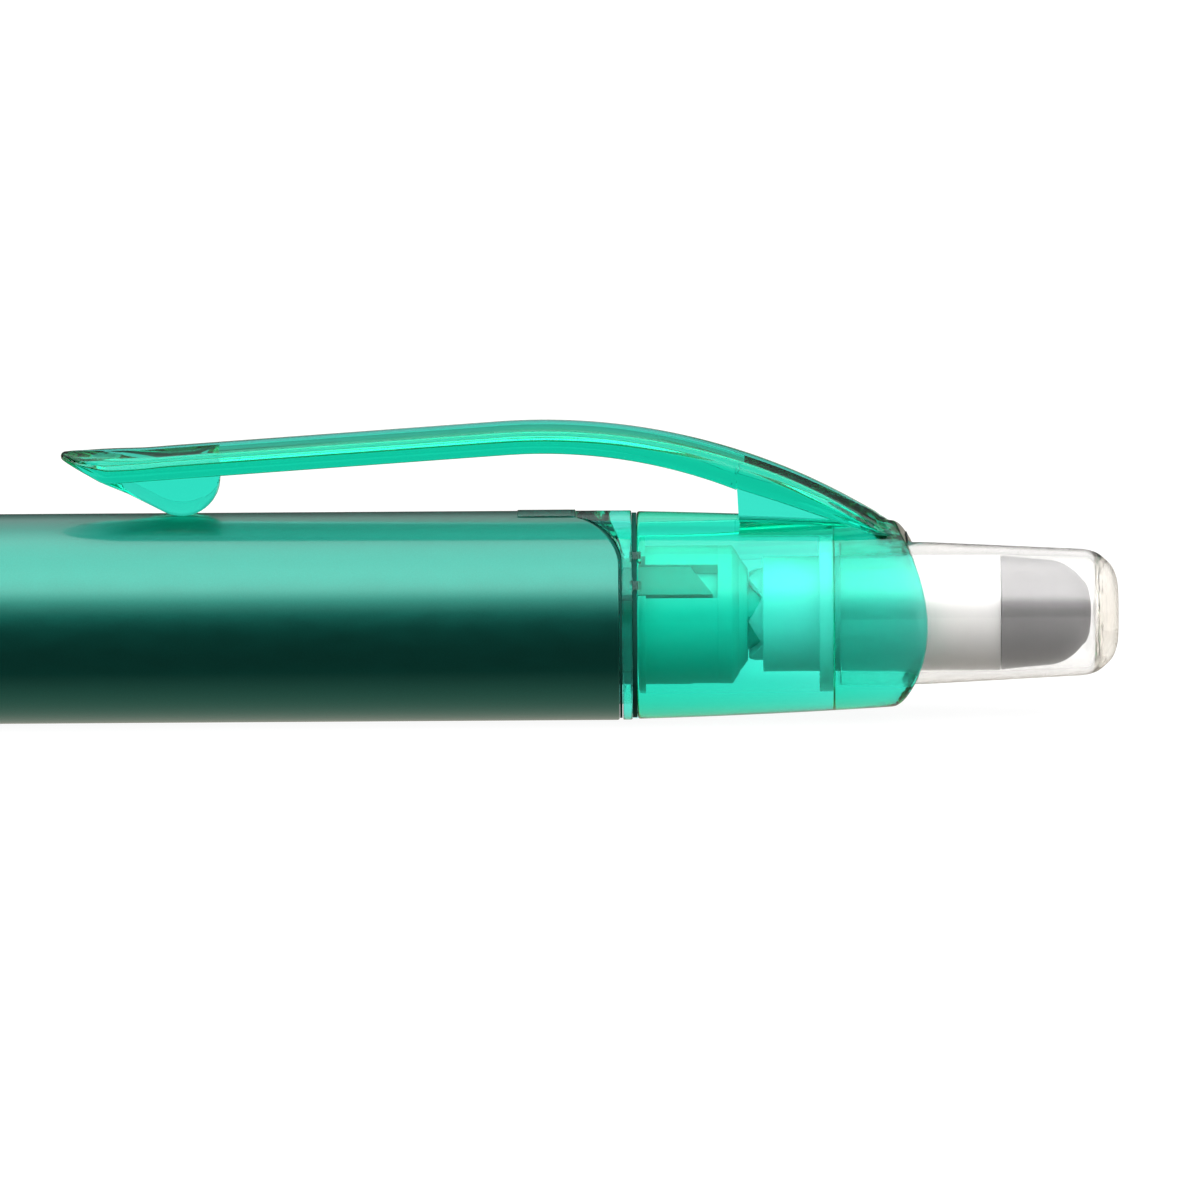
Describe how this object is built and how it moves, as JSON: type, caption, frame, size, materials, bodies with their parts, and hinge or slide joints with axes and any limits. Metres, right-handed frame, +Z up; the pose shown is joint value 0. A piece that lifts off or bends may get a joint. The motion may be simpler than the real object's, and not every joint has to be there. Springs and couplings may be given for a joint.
{
  "type": "highlighter",
  "caption": "Slim retractable highlighter: opaque barrel, translucent rear housing with an arched clip, click mechanism and an eraser under a clear press cap.",
  "frame": {"origin": "halfway along the pen with its press cap out, on the surface the pen lies on, below the pen's axis", "axes": "+X along the pen towards the press cap, +Z up through the clip, +Y across the pen"},
  "size_m": [0.144, 0.0104, 0.015],
  "materials": {
    "metallic_green": "pearl metallic green",
    "grip_rubber": "satin rubber",
    "clear_green": "translucent green plastic",
    "natural_plastic": "natural moulded plastic",
    "white_plastic": "white satin plastic",
    "eraser_rubber": "matte grey eraser",
    "clear_cap": "clear plastic",
    "spring_steel": "drawn wire",
    "ink_fibre": "ink-soaked fibre",
    "film": "thin film wrap"
  },
  "bodies": {
    "body": {"barrel": "metallic_green", "grip": "grip_rubber", "trim_ring": "clear_green", "rear_housing": "clear_green", "clip_base": "clear_green", "cam_sleeve": "natural_plastic"},
    "nose": {"nose_cone": "clear_green"},
    "clip": {"clip_arm": "clear_green"},
    "pusher": {"plunger": "white_plastic", "eraser": "eraser_rubber"},
    "cap": {"press_cap": "clear_cap"},
    "refill": {"return_spring": "spring_steel", "nib": "ink_fibre", "nib_holder": "white_plastic", "refill_tube": "natural_plastic", "reservoir_film": "film", "ink_reservoir": "ink_fibre", "refill_plug": "white_plastic", "rotor": "natural_plastic"}
  },
  "joints": [
    {"name": "plunger_slide", "type": "slide", "parent": "body", "child": "pusher", "axis": [-1, 0, 0], "range_m": [0, 0.0039], "stiffness_N_per_m": 300, "springref_m": -0.004},
    {"name": "refill_slide", "type": "slide", "parent": "body", "child": "refill", "axis": [-1, 0, 0], "range_m": [0, 0.0039], "deforming": ["return_spring"]},
    {"name": "cap_pull", "type": "slide", "parent": "pusher", "child": "cap", "axis": [1, 0, 0], "range_m": [0, 0.016]},
    {"name": "clip_flex", "type": "hinge", "parent": "body", "child": "clip", "pos_m": [0.05305, 0, 0.01262], "axis": [0, 1, 0], "range_deg": [0, 4.5], "stiffness_Nm_per_rad": 1.5, "springref_deg": -1.15},
    {"name": "nose_off", "type": "slide", "parent": "body", "child": "nose", "axis": [-1, 0, 0], "range_m": [0, 0.03]}
  ],
  "couplings": [
    {"joint": "refill_slide", "follows": "plunger_slide", "ratio": 1}
  ]
}
